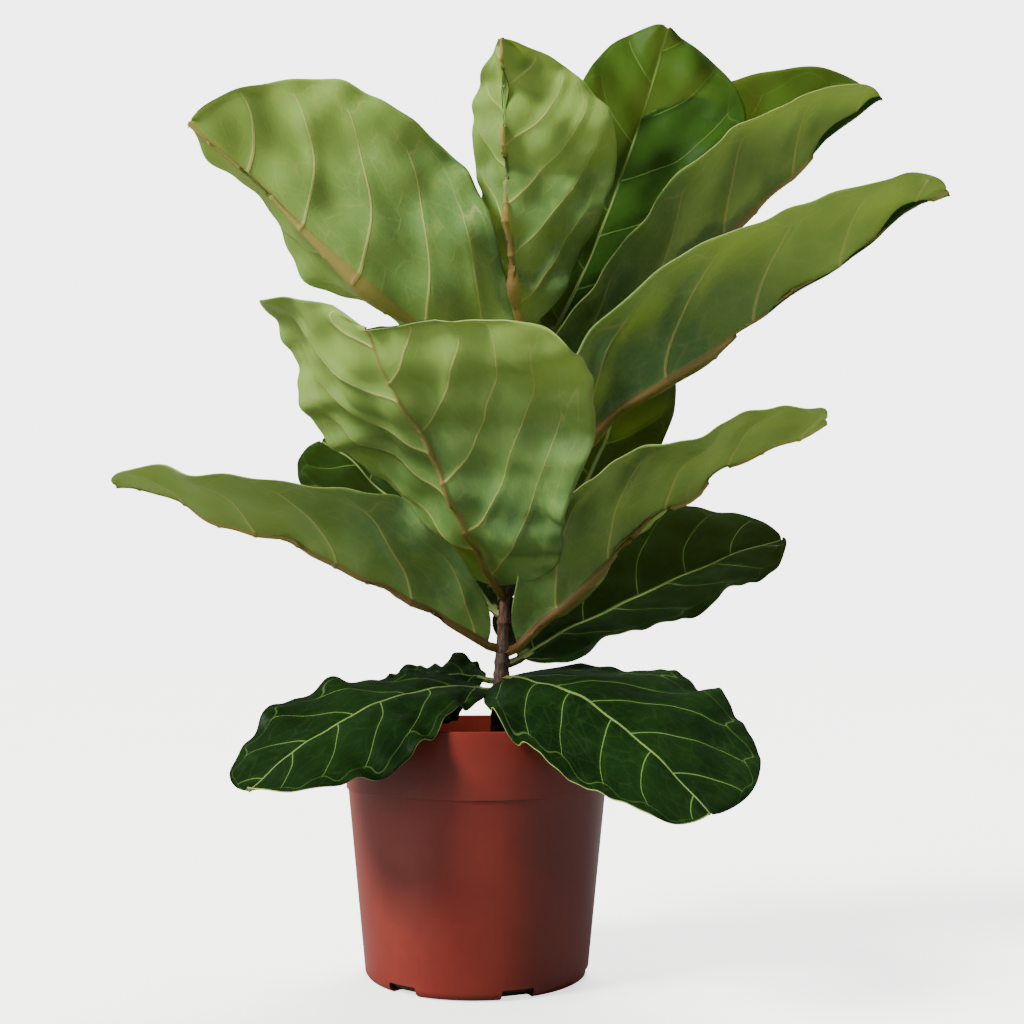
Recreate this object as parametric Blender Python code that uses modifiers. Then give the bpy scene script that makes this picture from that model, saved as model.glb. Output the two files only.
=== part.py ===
"""Potted fiddle leaf fig: a young Ficus lyrata in a 21 cm plastic nursery pot.

Metres, +Z up. The origin is on the pot's axis, on the surface that the pot stands on.
-Y is the front. The pot, the soil, the stem, the bud and each leaf are separate solids.
"""

import math

import bmesh
import bpy
import numpy as np
from mathutils import Matrix, Vector

# Pot: a thin injection-moulded pot with a deep rim band and a flat base
POT_HEIGHT = 0.197
RIM_RADIUS = 0.105
RIM_BAND = 0.050
RIM_STEP = 0.0015
FOOT_RADIUS = 0.088
CORNER_RADIUS = 0.007
WALL = 0.0022
DRAINS = 6
DRAIN_TURN = math.radians(-68)
SLOT_WIDTH = 0.026
SLOT_HEIGHT = 0.008
SLOT_DEPTH = 0.014
HOLE_RADIUS = 0.006
HOLE_CIRCLE = 0.045
POT_SEGMENTS = 48

# Soil, filled to a little below the rim
SOIL_TOP = 0.172
GAP = 0.0003

# Stem: the points of its axis with its radius at each
STEM = (
    (0.016, 0.000, SOIL_TOP + 4 * GAP, 0.0075),
    (0.020, 0.000, 0.250, 0.0062),
    (0.027, 0.000, 0.350, 0.0055),
    (0.036, 0.000, 0.450, 0.0048),
    (0.042, -0.003, 0.525, 0.0042),
)
BUD_LENGTH = 0.030
BUD_RADIUS = 0.0045

# Leaves
PETIOLE = 0.022
PETIOLE_HALF_WIDTH = 0.0026
PETIOLE_THICKNESS = 0.0046
BLADE_THICKNESS = 0.0012
BLADE_ROWS = 14
PETIOLE_ROWS = 3
HALF_COLUMNS = 4


def unit(vector):
    vector = np.asarray(vector, float)
    return vector / np.linalg.norm(vector, axis=-1, keepdims=True)


def stem_at(height):
    """The stem's axis point and radius at a height, on straight runs between its points."""
    stem = np.array(STEM)
    values = [np.interp(height, stem[:, 2], column) for column in stem.T]
    return np.array([values[0], values[1], height]), values[3]


def half_width(q, blunt, broadest, waist):
    """The fiddle's half width, as a share of the widest, from the blade's foot at 0 to its tip at 1."""
    foot = 1 - (1 - q) ** 18
    rise = np.clip(q / broadest, 0, 1)
    body = waist + (1 - waist) * rise**2 * (3 - 2 * rise)
    apex = (1 - np.clip(q, 0, 1) ** blunt) ** 0.6
    return foot * body * apex


class Leaf:
    """A petiole and midrib on one curve, with each half of the blade spreading from it.

    height is where it leaves the stem. The midrib's middle stands off the straight line to
    the tip by bow, and sway bends it one way below the middle and the other way above.
    left and right are the ways that the two halves spread, as seen from the stem with the
    upper face up. curl bends each half up towards its margin, twist turns the blade about
    the midrib, both in degrees and both growing from nothing at the stem. lean is how far
    each half sweeps forward at the tip, and heel the same at the foot, where below zero it
    makes lobes that reach back. blunt is how square the tip is, broadest where the blade is
    widest and waist how wide it is near the foot.
    """

    def __init__(
        self, name, height, tip, bow, width, left, right, sway=(0, 0, 0), curl=(0, 0),
        twist=0, lean=(0.6, 0.6), heel=-0.2, blunt=3.0, broadest=0.7, waist=0.4,
        ruffle=0.005, waves=3.0, petiole=PETIOLE,
    ):
        self.name, self.width, self.heel = name, width, heel
        self.form = (blunt, broadest, waist)
        self.spread, self.curl, self.twist, self.lean = (left, right), curl, twist, lean
        self.ruffle, self.waves, self.petiole = ruffle, waves, petiole
        tip, bow, sway = np.array(tip), np.array(bow), np.array(sway)
        axis, radius = stem_at(height)
        heading = unit((tip - axis) / 2 + 2 * bow + 3 * sway)
        flat = unit([heading[0], heading[1], 0])
        start = axis + flat * (radius + 2 * GAP + PETIOLE_THICKNESS * 0.6 * abs(heading[2]))
        t = np.linspace(0, 1, 81)[:, None]
        straight = start + (tip - start) * t
        self.curve = straight + 4 * t * (1 - t) * bow + np.sin(2 * math.pi * t) * sway
        steps = np.linalg.norm(np.diff(self.curve, axis=0), axis=1)
        self.stations = np.concatenate([[0], np.cumsum(steps)])
        self.length = self.stations[-1]
        self.blade = self.length - petiole

    def midrib(self, along):
        """Points and directions of the midrib, which runs on straight past its tip."""
        inside = np.clip(along, 0, self.length)
        point = np.stack([np.interp(inside, self.stations, c) for c in self.curve.T], -1)
        slopes = unit(np.gradient(self.curve, self.stations, axis=0))
        heading = unit(np.stack([np.interp(inside, self.stations, c) for c in slopes.T], -1))
        return point + (along - inside)[..., None] * heading, heading

    def place(self, along, across):
        """The point at a distance along the midrib and across it, with the left half below zero."""
        point, heading = self.midrib(along)
        ripple = 2 * math.pi * self.waves * along / self.length
        turn = np.radians(self.twist) * np.clip(along / self.length, 0, 1)[..., None]
        result = np.array(point)
        for side, sign in ((0, -1), (1, 1)):
            spread = np.broadcast_to(np.array(self.spread[side], float), point.shape)
            spread = unit(spread - (spread * heading).sum(-1, keepdims=True) * heading)
            face = np.cross(spread, heading) * sign
            spread, face = (
                spread * np.cos(turn) + face * np.sin(turn) * sign,
                face * np.cos(turn) - spread * np.sin(turn) * sign,
            )
            share = np.clip(across * sign, 0, None) / self.width[side]
            bend = np.radians(self.curl[side]) * np.clip(along / self.length, 0, 1) + 1e-6
            out = self.width[side] * np.sin(bend * share) / bend
            up = self.width[side] * (1 - np.cos(bend * share)) / bend
            up = up + self.ruffle * share**2 * np.sin(ripple + 1.9 * side)
            result = result + out[..., None] * spread + up[..., None] * face
        return result

    def outline(self, q, share):
        """Along and across for row q, 0 at the foot to 1 at the tip, and a signed share of its half."""
        side = np.where(share < 0, 0, 1)
        half = np.array(self.width)[side] * half_width(q, *self.form)
        lean = self.heel + (np.array(self.lean)[side] - self.heel) * q
        along = self.petiole + self.blade * q + half * lean * np.abs(share) ** 1.3
        return along, np.maximum(half, PETIOLE_HALF_WIDTH) * share


LEAVES = [
    Leaf(
        "leaf_low_front_left", 0.224, (-0.158, -0.140, 0.160), bow=(0.0, 0.0, 0.025),
        width=(0.074, 0.060), left=(0.60, -0.75, -0.26), right=(-0.65, 0.68, 0.32),
        curl=(-35, 0), lean=(0.2, 0.5), heel=-0.2, blunt=4.0, broadest=0.6, waist=0.36,
        waves=4.0, petiole=0.016,
    ),
    Leaf(
        "leaf_low_front_right", 0.235, (0.160, -0.190, 0.150), bow=(0.0, -0.01, 0.022),
        width=(0.106, 0.068), left=(0.87, 0.35, 0.12), right=(-0.75, -0.40, -0.45),
        lean=(0.3, 0.4), heel=-0.8, blunt=4.0, broadest=0.55, waist=0.5, waves=3.5,
        petiole=0.014,
    ),
    Leaf(
        "leaf_low_back_left", 0.232, (-0.090, 0.045, 0.205), bow=(0.0, 0.0, 0.014),
        width=(0.065, 0.036), left=(0.30, -0.60, -0.70), right=(-0.30, 0.70, 0.20),
        waist=0.6, petiole=0.014,
    ),
    Leaf(
        "leaf_long_left", 0.258, (-0.280, -0.060, 0.384), bow=(0.0, -0.01, 0.012),
        width=(0.088, 0.062), left=(0.30, -0.45, 0.80), right=(-0.30, 0.85, -0.10),
        curl=(0, 20), twist=38, heel=-0.3, blunt=2.4, broadest=0.38, waves=2.5,
        petiole=0.012,
    ),
    Leaf(
        "leaf_long_right", 0.255, (0.272, -0.055, 0.440), bow=(0.0, -0.01, 0.014),
        width=(0.060, 0.080), left=(0.30, 0.90, -0.05), right=(-0.45, -0.33, 0.80),
        twist=-45, heel=-0.2, blunt=2.4, broadest=0.38, waves=3.5, petiole=0.014,
    ),
    Leaf(
        "leaf_back_right", 0.245, (0.268, 0.090, 0.352), bow=(0.0, 0.01, 0.010),
        width=(0.104, 0.062), left=(-0.45, 0.60, 0.65), right=(0.45, -0.77, -0.42),
        lean=(0.2, 0.3), blunt=3.5, waves=4.0, heel=-0.5, waist=0.55,
    ),
    Leaf(
        "leaf_broad_front", 0.300, (-0.078, -0.140, 0.489), bow=(0.0, -0.01, 0.0),
        width=(0.165, 0.118), left=(0.85, -0.45, 0.0), right=(-0.85, 0.72, 0.05),
        curl=(-15, 10), lean=(-0.10, 0.62), blunt=24.0, broadest=0.9, waves=2.0,
    ),
    Leaf(
        "leaf_back_left", 0.285, (-0.147, 0.120, 0.445), bow=(0.0, 0.01, 0.010),
        width=(0.078, 0.072), left=(-0.55, -0.50, -0.50), right=(0.55, 0.50, 0.50),
        waist=0.6, petiole=0.012, heel=-0.3,
    ),
    Leaf(
        "leaf_back_centre", 0.295, (0.145, 0.130, 0.575), bow=(0.018, 0.01, -0.010),
        width=(0.065, 0.062), left=(-0.85, 0.30, 0.20), right=(0.90, -0.25, -0.30),
        petiole=0.012,
    ),
    Leaf(
        "leaf_wide_right", 0.390, (0.374, -0.060, 0.620), bow=(0.0, -0.01, 0.0),
        width=(0.075, 0.106), left=(-0.10, 0.75, 0.60), right=(-0.35, -0.50, 0.75),
        sway=(0.0, 0.0, 0.006), twist=-12, lean=(0.5, 0.4), blunt=1.8, broadest=0.5,
        waves=2.0,
    ),
    Leaf(
        "leaf_folded", 0.430, (0.362, 0.060, 0.742), bow=(0.0, 0.01, 0.020),
        width=(0.155, 0.094), left=(-0.30, 0.62, 0.74), right=(-0.20, -0.65, 0.70),
        curl=(150, 10), lean=(0.5, 0.5), blunt=2.3, broadest=0.55, waves=2.0,
    ),
    Leaf(
        "leaf_upper_left", 0.460, (-0.229, -0.060, 0.676), bow=(0.0, -0.01, -0.010),
        width=(0.134, 0.065), left=(0.60, -0.10, 0.78), right=(-0.10, 1.00, -0.10),
        curl=(25, 0), lean=(0.1, 0.5), heel=0.0, blunt=5.0, broadest=0.5, waist=0.5,
        waves=2.5,
    ),
    Leaf(
        "leaf_top_back", 0.485, (0.165, 0.035, 0.798), bow=(0.005, 0.014, -0.010),
        width=(0.070, 0.108), left=(-0.90, 0.10, 0.20), right=(0.90, 0.05, -0.20),
        curl=(35, 30), lean=(0.1, 0.0), blunt=6.0, broadest=0.8, waist=0.3, waves=2.0,
        petiole=0.050,
    ),
    Leaf(
        "leaf_top_front", 0.505, (0.020, -0.080, 0.737), bow=(-0.006, -0.01, 0.0),
        width=(0.098, 0.042), left=(0.95, 0.25, 0.0), right=(-0.60, 0.80, 0.0),
        curl=(-10, 0), lean=(0.05, 0.0), blunt=5.0, broadest=0.6, waves=2.5,
        petiole=0.030,
    ),
]


# Build


def material(name, colour, roughness):
    """A plain Principled material, none of it metal."""
    made = bpy.data.materials.new(name)
    made.use_nodes = True
    shader = made.node_tree.nodes["Principled BSDF"]
    shader.inputs["Base Color"].default_value = (*colour, 1)
    shader.inputs["Roughness"].default_value = roughness
    shader.inputs["Metallic"].default_value = 0
    return made


def add_object(name, data, collection, finish=None):
    made = bpy.data.objects.new(name, data)
    collection.objects.link(made)
    if finish:
        data.materials.append(finish)
    return made


def turned(name, profile, collection, finish):
    """A solid turned about +Z from a profile that runs down its outer side."""
    points = [(radius, 0, height) for radius, height in profile]
    edges = [(i, i + 1) for i in range(len(points) - 1)]
    if profile[0][0] > 0:
        edges.append((len(points) - 1, 0))
    mesh = bpy.data.meshes.new(name)
    mesh.from_pydata(points, edges, [])
    made = add_object(name, mesh, collection, finish)
    screw = made.modifiers.new("Turn", "SCREW")
    screw.steps = screw.render_steps = POT_SEGMENTS
    screw.use_merge_vertices = True
    screw.merge_threshold = 1e-5
    screw.use_smooth_shade = True
    return made


def wall_radius(height):
    """The outer radius of the tapered body below the rim band."""
    share = height / (POT_HEIGHT - RIM_BAND)
    return FOOT_RADIUS + (RIM_RADIUS - RIM_STEP - FOOT_RADIUS) * share


def corner(radius, height, turn_radius, steps=4):
    """The rounded bottom corner, from the wall down to the base."""
    turns = [math.pi / 2 * i / steps for i in range(steps + 1)]
    return [
        (radius - turn_radius * (1 - math.cos(a)), height + turn_radius * (1 - math.sin(a)))
        for a in turns
    ]


def make_pot(parts, cutters):
    step = POT_HEIGHT - RIM_BAND
    inner = CORNER_RADIUS - WALL
    outside = [(RIM_RADIUS, POT_HEIGHT), (RIM_RADIUS, step), (RIM_RADIUS - RIM_STEP, step)]
    outside += corner(wall_radius(CORNER_RADIUS), 0, CORNER_RADIUS)
    inside = corner(wall_radius(CORNER_RADIUS) - WALL, WALL, inner)[::-1]
    inside += [(RIM_RADIUS - RIM_STEP - WALL, step), (RIM_RADIUS - WALL, step + WALL)]
    inside += [(RIM_RADIUS - WALL, POT_HEIGHT)]
    profile = outside + [(0, 0), (0, WALL)] + inside
    pot = turned("pot", profile, parts, material("pot_plastic", (0.20, 0.035, 0.025), 0.38))

    bm = bmesh.new()
    for index in range(DRAINS):
        turn = DRAIN_TURN + 2 * math.pi * index / DRAINS
        slot = bmesh.ops.create_cube(bm, size=1)["verts"]
        bmesh.ops.scale(bm, vec=(2 * SLOT_DEPTH, SLOT_WIDTH, 2 * SLOT_HEIGHT), verts=slot)
        bmesh.ops.translate(bm, verts=slot, vec=(FOOT_RADIUS, 0, 0))
        hole = bmesh.ops.create_cone(
            bm, cap_ends=True, segments=16, radius1=HOLE_RADIUS, radius2=HOLE_RADIUS,
            depth=8 * WALL,
        )["verts"]
        bmesh.ops.translate(bm, verts=hole, vec=(HOLE_CIRCLE, 0, 0))
        bmesh.ops.rotate(bm, verts=slot, matrix=Matrix.Rotation(turn, 3, "Z"))
        half_step = math.pi / DRAINS
        bmesh.ops.rotate(bm, verts=hole, matrix=Matrix.Rotation(turn + half_step, 3, "Z"))
    mesh = bpy.data.meshes.new("drains")
    bm.to_mesh(mesh)
    bm.free()
    drains = add_object("drains", mesh, cutters)
    drains.hide_render = True
    drains.display_type = "WIRE"
    cut = pot.modifiers.new("Drains", "BOOLEAN")
    cut.operation = "DIFFERENCE"
    cut.object = drains


def make_soil(parts):
    """Potting soil that fills the pot, drawn in from the wall by the gap."""
    step = POT_HEIGHT - RIM_BAND
    clear = WALL + 2 * GAP
    inner = CORNER_RADIUS - clear
    profile = [(0, SOIL_TOP), (RIM_RADIUS - clear, SOIL_TOP), (RIM_RADIUS - clear, step + clear)]
    profile += [(RIM_RADIUS - RIM_STEP - clear, step)]
    profile += corner(wall_radius(CORNER_RADIUS) - clear, clear, inner) + [(0, clear)]
    turned("soil", profile, parts, material("soil", (0.022, 0.014, 0.009), 0.95))


def make_stem(parts):
    curve = bpy.data.curves.new("stem", "CURVE")
    curve.dimensions = "3D"
    curve.bevel_depth = 1.0
    curve.bevel_resolution = 3
    curve.use_fill_caps = True
    spline = curve.splines.new("POLY")
    spline.points.add(len(STEM) - 1)
    for point, (x, y, z, radius) in zip(spline.points, STEM):
        point.co = (x, y, z, 1)
        point.radius = radius
    add_object("stem", curve, parts, material("stem_bark", (0.075, 0.035, 0.022), 0.75))


def make_bud(parts):
    """The pointed sheath that covers the growing tip."""
    shares = [i / 6 for i in range(7)]
    profile = [
        (BUD_RADIUS * math.cos(math.pi / 2 * share) ** 0.8, BUD_LENGTH * share) for share in shares
    ]
    profile = [(0, BUD_LENGTH)] + profile[-2::-1] + [(0, 0)]
    bud = turned("terminal_bud", profile, parts, material("bud_sheath", (0.16, 0.10, 0.045), 0.55))
    bud.modifiers["Turn"].steps = bud.modifiers["Turn"].render_steps = 12
    below, top = Vector(STEM[-2][:3]), Vector(STEM[-1][:3])
    heading = (top - below).normalized()
    bud.location = top + heading * GAP
    bud.rotation_euler = heading.to_track_quat("Z", "Y").to_euler()


def make_leaf(leaf, parts, finish):
    """A grid laid out as petiole rows and blade rows, bent into the leaf and thickened."""
    rows, columns = PETIOLE_ROWS + BLADE_ROWS, 2 * HALF_COLUMNS
    bm = bmesh.new()
    bmesh.ops.create_grid(bm, x_segments=columns, y_segments=rows, size=0.5)
    bm.verts.ensure_lookup_table()
    grid = np.array([vertex.co[:] for vertex in bm.verts])
    share = np.round(2 * grid[:, 0] * HALF_COLUMNS) / HALF_COLUMNS
    row = np.round((grid[:, 1] + 0.5) * rows)

    on_petiole = row < PETIOLE_ROWS
    q = (1 - np.cos(math.pi * np.clip(row - PETIOLE_ROWS, 0, None) / BLADE_ROWS)) / 2
    along, across = leaf.outline(q, share)
    along = np.where(on_petiole, leaf.petiole * row / PETIOLE_ROWS, along)
    across = np.where(on_petiole, PETIOLE_HALF_WIDTH * share, across)
    for vertex, point in zip(bm.verts, leaf.place(along, across)):
        vertex.co = point
    bmesh.ops.recalc_face_normals(bm, faces=bm.faces)

    mesh = bpy.data.meshes.new(leaf.name)
    bm.to_mesh(mesh)
    bm.free()
    made = add_object(leaf.name, mesh, parts, finish)
    blade = BLADE_THICKNESS / PETIOLE_THICKNESS
    rib = 1 - 0.6 * q
    thick = made.vertex_groups.new(name="thickness")
    for index in range(len(mesh.vertices)):
        weight = 1.0 if on_petiole[index] else rib[index] if share[index] == 0 else blade
        thick.add([index], float(weight), "REPLACE")
    solid = made.modifiers.new("Thickness", "SOLIDIFY")
    solid.thickness = PETIOLE_THICKNESS
    solid.offset = 0
    solid.vertex_group = thick.name
    mesh.shade_smooth()


def main():
    for leftover in list(bpy.data.objects):
        bpy.data.objects.remove(leftover, do_unlink=True)
    parts = bpy.data.collections.new("potted_fiddle_leaf_fig")
    cutters = bpy.data.collections.new("cutters")
    for collection in (parts, cutters):
        bpy.context.scene.collection.children.link(collection)

    make_pot(parts, cutters)
    make_soil(parts)
    make_stem(parts)
    make_bud(parts)
    blade = material("leaf", (0.035, 0.105, 0.022), 0.42)
    for leaf in LEAVES:
        make_leaf(leaf, parts, blade)


main()
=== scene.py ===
"""Potted fiddle leaf fig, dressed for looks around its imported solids."""

import math

import bmesh
import bpy
import numpy as np
from mathutils import Matrix, Vector


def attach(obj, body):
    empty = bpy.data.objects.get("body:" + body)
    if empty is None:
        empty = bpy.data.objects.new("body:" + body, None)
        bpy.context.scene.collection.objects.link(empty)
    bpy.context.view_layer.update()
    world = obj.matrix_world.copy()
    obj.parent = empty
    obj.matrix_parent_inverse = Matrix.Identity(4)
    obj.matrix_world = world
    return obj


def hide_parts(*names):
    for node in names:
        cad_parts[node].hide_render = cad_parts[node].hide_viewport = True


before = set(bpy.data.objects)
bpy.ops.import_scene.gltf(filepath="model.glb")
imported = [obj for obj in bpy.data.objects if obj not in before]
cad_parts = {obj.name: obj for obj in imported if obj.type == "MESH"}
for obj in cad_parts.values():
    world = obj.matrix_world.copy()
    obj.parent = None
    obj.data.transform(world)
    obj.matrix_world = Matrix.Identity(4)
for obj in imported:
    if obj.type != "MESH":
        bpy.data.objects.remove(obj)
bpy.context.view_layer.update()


# Pot
# A round nursery pot of red-brown polypropylene, injection moulded: a thin tapered wall, a
# deep rim band that stands a little proud, and drain slots through the bottom edge. It is
# turned from its profile, its base is cut for the drains, and its edges carry small radii.

POT_HEIGHT = 0.197
RIM_RADIUS = 0.105
RIM_BAND = 0.050
RIM_STEP = 0.0015
FOOT_RADIUS = 0.088
CORNER_RADIUS = 0.007
WALL = 0.0022
DRAINS = 6
DRAIN_TURN = math.radians(-68)
SLOT_WIDTH = 0.026
SLOT_HEIGHT = 0.008
SLOT_DEPTH = 0.014
HOLE_RADIUS = 0.006
HOLE_CIRCLE = 0.045
BASE_RINGS = (0.060, 0.030)
BAND_EDGE_RADIUS = 0.0006
BAND_ROOT_RADIUS = 0.0003
SLOT_EDGE_RADIUS = 0.0016


def arc(centre_r, centre_z, radius, start, end, steps=6):
    """Points of a rounded edge in the profile, by its angles in degrees from straight out."""
    angles = [math.radians(start + (end - start) * i / steps) for i in range(steps + 1)]
    return [(centre_r + radius * math.cos(a), centre_z + radius * math.sin(a)) for a in angles]


def turned_mesh(name, profile, steps=144):
    """Turns a profile of (radius, height) points about the upright axis into a closed mesh."""
    bm = bmesh.new()
    points = [bm.verts.new((radius, 0, height)) for radius, height in profile]
    edges = [bm.edges.new(pair) for pair in zip(points, points[1:])]
    if profile[0][0] > 0 and profile[-1][0] > 0:
        edges.append(bm.edges.new((points[-1], points[0])))
    bmesh.ops.spin(
        bm, geom=points + edges, cent=(0, 0, 0), axis=(0, 0, 1), angle=2 * math.pi,
        steps=steps, use_merge=True,
    )
    bmesh.ops.remove_doubles(bm, verts=bm.verts, dist=1e-5)
    bmesh.ops.recalc_face_normals(bm, faces=bm.faces)
    mesh = bpy.data.meshes.new(name)
    bm.to_mesh(mesh)
    bm.free()
    return mesh


def show(name, mesh, *finishes):
    """Puts a finished mesh in the scene, smooth over gentle turns and crisp at its edges."""
    piece = bpy.data.objects.new(name, mesh)
    bpy.context.scene.collection.objects.link(piece)
    for finish in finishes:
        mesh.materials.append(finish)
    mesh.shade_smooth()
    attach(piece, "root")
    return piece


class Value:
    """A socket in one material. Sums on it add Math nodes, and node() adds any other node."""

    def __init__(self, tree, socket=None):
        self.tree, self.socket = tree, socket

    def node(self, kind, settings=(), sockets=(), out=0):
        made = self.tree.nodes.new("ShaderNode" + kind)
        for name, setting in dict(settings).items():
            if name == "stops":
                while len(made.color_ramp.elements) < len(setting):
                    made.color_ramp.elements.new(0.5)
                for stop, (place, colour) in zip(made.color_ramp.elements, setting):
                    stop.position, stop.color = place, (*colour, 1)
            else:
                setattr(made, name, setting)
        for name, value in dict(sockets).items():
            if isinstance(value, Value):
                self.tree.links.new(value.socket, made.inputs[name])
            else:
                made.inputs[name].default_value = value
        return Value(self.tree, made.outputs[out])

    def maths(self, operation, *terms):
        return self.node("Math", {"operation": operation}, dict(enumerate(terms)))

    def __add__(self, other):
        return self.maths("ADD", self, other)

    def __sub__(self, other):
        return self.maths("SUBTRACT", self, other)

    def __rsub__(self, other):
        return self.maths("SUBTRACT", other, self)

    def __mul__(self, other):
        return self.maths("MULTIPLY", self, other)

    def __truediv__(self, other):
        return self.maths("DIVIDE", self, other)

    def __abs__(self):
        return self.maths("ABSOLUTE", self)

    __radd__ = __add__
    __rmul__ = __mul__

    def within(self, low, high):
        """Eases from 0 at low to 1 at high."""
        return self.node(
            "MapRange", {"interpolation_type": "SMOOTHSTEP"},
            {"Value": self, "From Min": low, "From Max": high},
        )

    def blend(self, first, second):
        """A colour from first, where this value is 0, to second, where it is 1."""
        colours = [(*c, 1) if isinstance(c, tuple) else c for c in (first, second)]
        return self.node(
            "Mix", {"data_type": "RGBA"}, {0: self, 6: colours[0], 7: colours[1]}, out=2
        )


def finish_with(name, roughness, make, **fixed):
    """A Principled material. make is given its tree and returns what varies over the surface."""
    made = bpy.data.materials.new(name)
    made.use_nodes = True
    tree = made.node_tree
    shader = tree.nodes["Principled BSDF"]
    shader.inputs["Metallic"].default_value = 0
    shader.inputs["Roughness"].default_value = roughness
    for socket, value in fixed.items():
        shader.inputs[socket.replace("_", " ")].default_value = value
    for socket, value in make(Value(tree)).items():
        tree.links.new(value.socket, shader.inputs[socket])
    return made


def moulded_plastic(start):
    """Red-brown plastic, a little uneven in colour, with faint flow lines down the wall."""
    place = start.node("TexCoord", out="Object")
    cloud = start.node("TexNoise", sockets={"Vector": place, "Scale": 14.0, "Detail": 5.0})
    drawn = start.node("Mapping", sockets={"Vector": place, "Scale": (190.0, 190.0, 6.0)})
    lines = start.node("TexNoise", sockets={"Vector": drawn, "Scale": 1.0, "Detail": 3.0})
    specks = start.node("TexNoise", sockets={"Vector": place, "Scale": 900.0, "Detail": 2.0})
    worn = cloud.within(0.35, 0.7)
    tone = worn.blend((0.130, 0.015, 0.010), (0.165, 0.021, 0.013))
    tone = (lines.within(0.5, 0.9) * 0.30).blend(tone, (0.090, 0.011, 0.007))
    dusty = specks.within(0.60, 0.78) * cloud.within(0.45, 0.8) * 0.22
    tone = dusty.blend(tone, (0.28, 0.10, 0.08))
    relief = lines * 0.5 + specks * 0.25
    bump = start.node("Bump", sockets={"Height": relief, "Strength": 0.18, "Distance": 0.0004})
    return {"Base Color": tone, "Roughness": worn * 0.10 + 0.33 + specks * 0.06, "Normal": bump}


pot_plastic = finish_with("pot_plastic", 0.4, moulded_plastic, Specular_IOR_Level=0.40)

slope = (RIM_RADIUS - RIM_STEP - FOOT_RADIUS) / (POT_HEIGHT - RIM_BAND)
step = POT_HEIGHT - RIM_BAND
body_top = RIM_RADIUS - RIM_STEP
lip = WALL / 2
low_wall = FOOT_RADIUS + slope * CORNER_RADIUS
pot_profile = arc(RIM_RADIUS - lip, POT_HEIGHT - lip, lip, 180, 0, 8)
pot_profile += arc(
    RIM_RADIUS - BAND_EDGE_RADIUS, step + BAND_EDGE_RADIUS, BAND_EDGE_RADIUS, 0, -90, 4
)
pot_profile += arc(
    body_top + BAND_ROOT_RADIUS, step - BAND_ROOT_RADIUS, BAND_ROOT_RADIUS, 90, 180, 3
)
pot_profile += [(body_top - slope * step * s, step * (1 - s)) for s in (0.25, 0.5, 0.75)]
pot_profile += arc(low_wall - CORNER_RADIUS, CORNER_RADIUS, CORNER_RADIUS, 0, -90, 8)
pot_profile += [(radius, 0.0) for radius in (*BASE_RINGS, 0.0)]
pot_profile += [(radius, WALL) for radius in (0.0, *reversed(BASE_RINGS))]
pot_profile += arc(
    low_wall - CORNER_RADIUS, CORNER_RADIUS, CORNER_RADIUS - WALL, -90, 0, 6
)
pot_profile += [(body_top - WALL, step - 0.001), (RIM_RADIUS - WALL, step + WALL)]
pot_profile += [(RIM_RADIUS - WALL, POT_HEIGHT - lip)]

pot_blank = bpy.data.objects.new("pot_blank", turned_mesh("pot_blank", pot_profile))
bm = bmesh.new()
for index in range(DRAINS):
    turn = DRAIN_TURN + 2 * math.pi * index / DRAINS
    slot = bmesh.ops.create_cube(bm, size=1)["verts"]
    bmesh.ops.scale(bm, vec=(2 * SLOT_DEPTH, SLOT_WIDTH, 2 * SLOT_HEIGHT), verts=slot)
    bmesh.ops.translate(bm, vec=(FOOT_RADIUS, 0, 0), verts=slot)
    bmesh.ops.rotate(bm, matrix=Matrix.Rotation(turn, 3, "Z"), verts=slot)
    uprights = {
        edge for vert in slot for edge in vert.link_edges
        if abs(edge.verts[0].co.z - edge.verts[1].co.z) > SLOT_HEIGHT
    }
    tops = {
        edge for vert in slot for edge in vert.link_edges
        if min(edge.verts[0].co.z, edge.verts[1].co.z) > 0
    }
    bmesh.ops.bevel(
        bm, geom=list(uprights | tops), offset=SLOT_EDGE_RADIUS, offset_type="OFFSET", segments=3,
        profile=0.5, affect="EDGES", material=-1,
    )
    hole = bmesh.ops.create_cone(
        bm, cap_ends=True, segments=32, radius1=HOLE_RADIUS, radius2=HOLE_RADIUS, depth=8 * WALL
    )["verts"]
    bmesh.ops.translate(bm, vec=(HOLE_CIRCLE, 0, 0), verts=hole)
    half_step = math.pi / DRAINS
    bmesh.ops.rotate(bm, matrix=Matrix.Rotation(turn + half_step, 3, "Z"), verts=hole)
drain_mesh = bpy.data.meshes.new("drain_cutter")
bm.to_mesh(drain_mesh)
bm.free()
drain_cutter = bpy.data.objects.new("drain_cutter", drain_mesh)
for helper in (pot_blank, drain_cutter):
    bpy.context.scene.collection.objects.link(helper)
cut = pot_blank.modifiers.new("Drains", "BOOLEAN")
cut.operation = "DIFFERENCE"
cut.object = drain_cutter
bpy.context.view_layer.update()
cut_pot = pot_blank.evaluated_get(bpy.context.evaluated_depsgraph_get())
pot_mesh = bpy.data.meshes.new_from_object(cut_pot)
for helper in (pot_blank, drain_cutter):
    bpy.data.objects.remove(helper)
pot_mesh.name = "nursery_pot"
nursery_pot = show("nursery_pot", pot_mesh, pot_plastic)
pot_mesh.set_sharp_from_angle(angle=math.radians(38))
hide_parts("pot")


# Soil
# Dark peat-based potting soil, filled to a little below the rim and drawn in from the wall.
# One lumpy body turned to the pot's inside, with loose crumbs, bark chips and perlite on top.

SOIL_TOP = 0.172
GAP = 0.0003
CRUMBS = 900
SOIL_SINK = 0.0022
LUMP = 0.0022
STEM_FOOT_X = 0.016
soil_clear = WALL + 2 * GAP


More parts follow.
